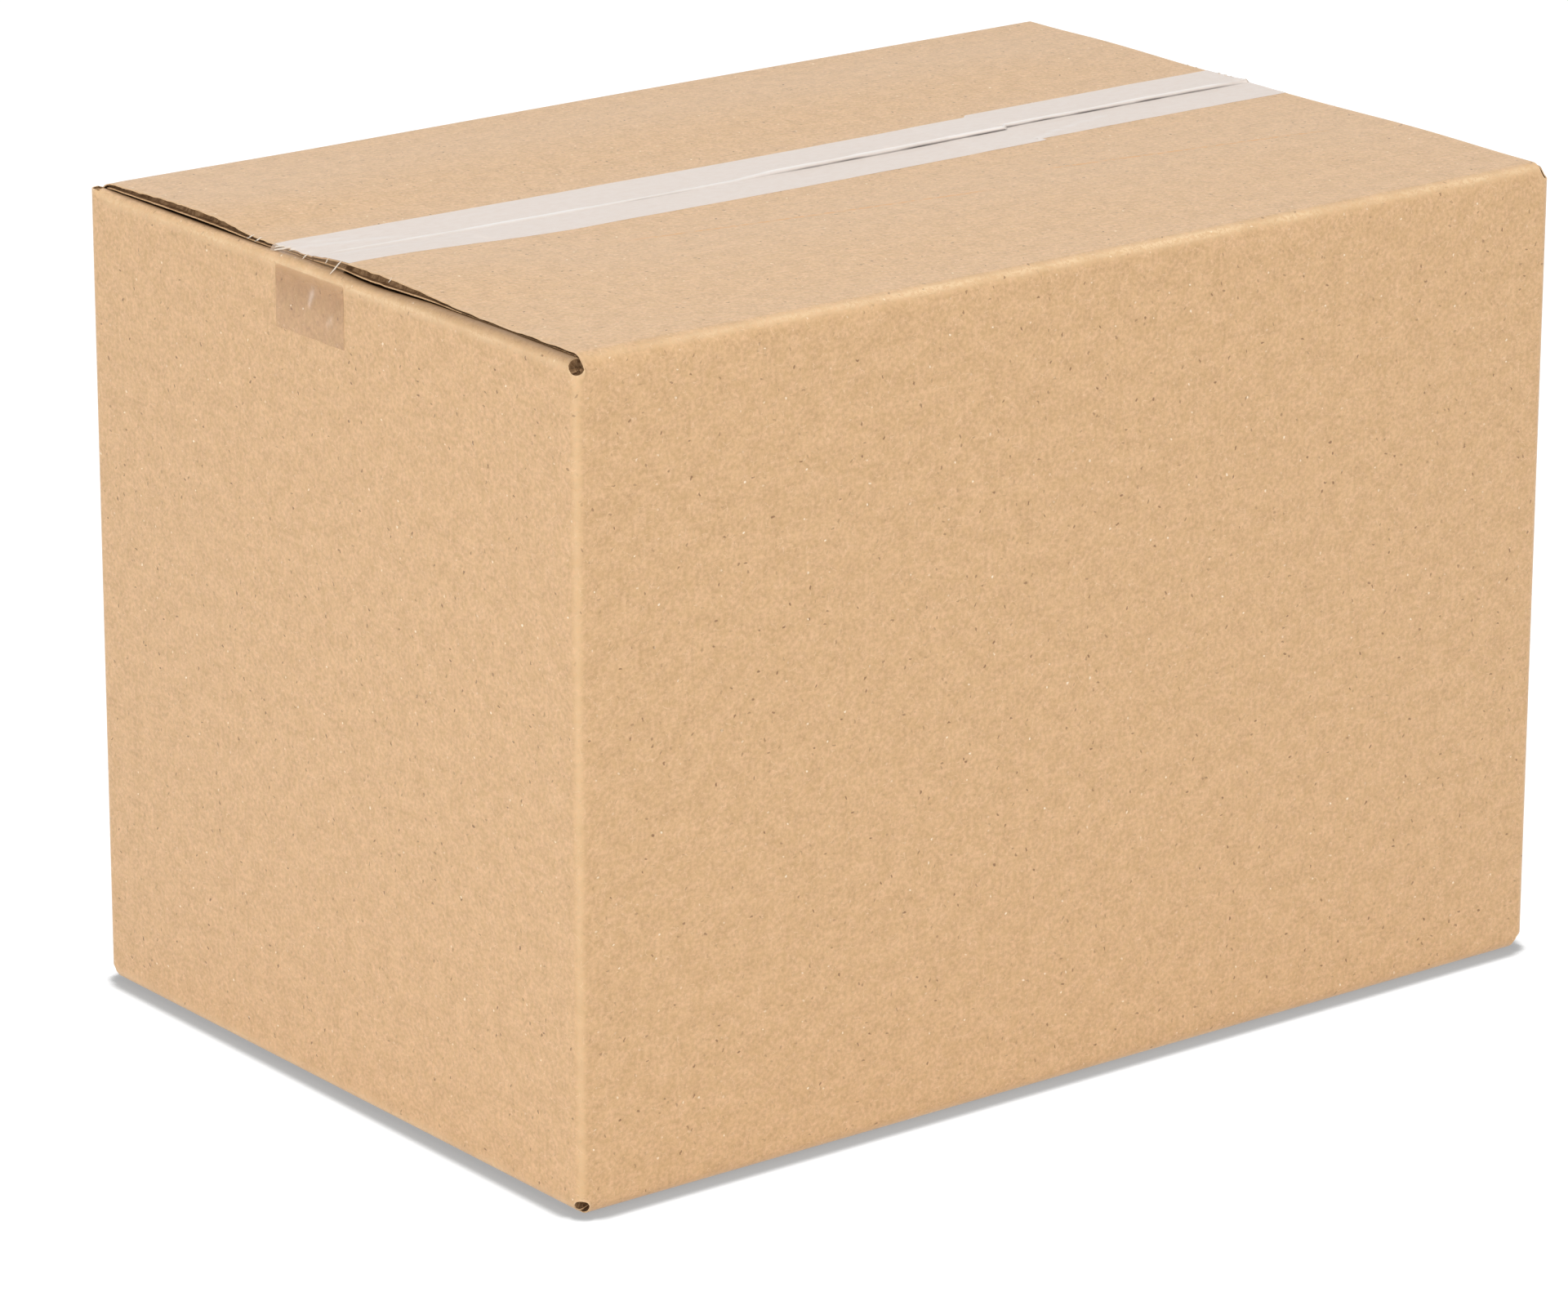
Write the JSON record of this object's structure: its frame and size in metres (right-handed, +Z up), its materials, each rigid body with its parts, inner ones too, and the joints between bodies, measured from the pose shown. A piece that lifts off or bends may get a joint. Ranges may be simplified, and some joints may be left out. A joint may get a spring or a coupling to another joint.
{
  "type": "closed cardboard box",
  "caption": "Closed and taped slotted carton: one folded corrugated board blank with round slot ends at its corners and clear tape over the seams.",
  "frame": {"origin": "middle of the base, on the surface that the box stands on", "axes": "+X along the length, towards the end with the shorter strip of top tape, +Y from the front long panel to the back one, +Z up"},
  "size_m": [0.4654, 0.3128, 0.3232],
  "materials": {
    "kraft_board": "matt",
    "clear_tape": "satin"
  },
  "bodies": {
    "root": {"carton": "kraft_board", "top_tape_left": "clear_tape", "top_tape_right": "clear_tape", "bottom_tape": "clear_tape"}
  },
  "joints": []
}
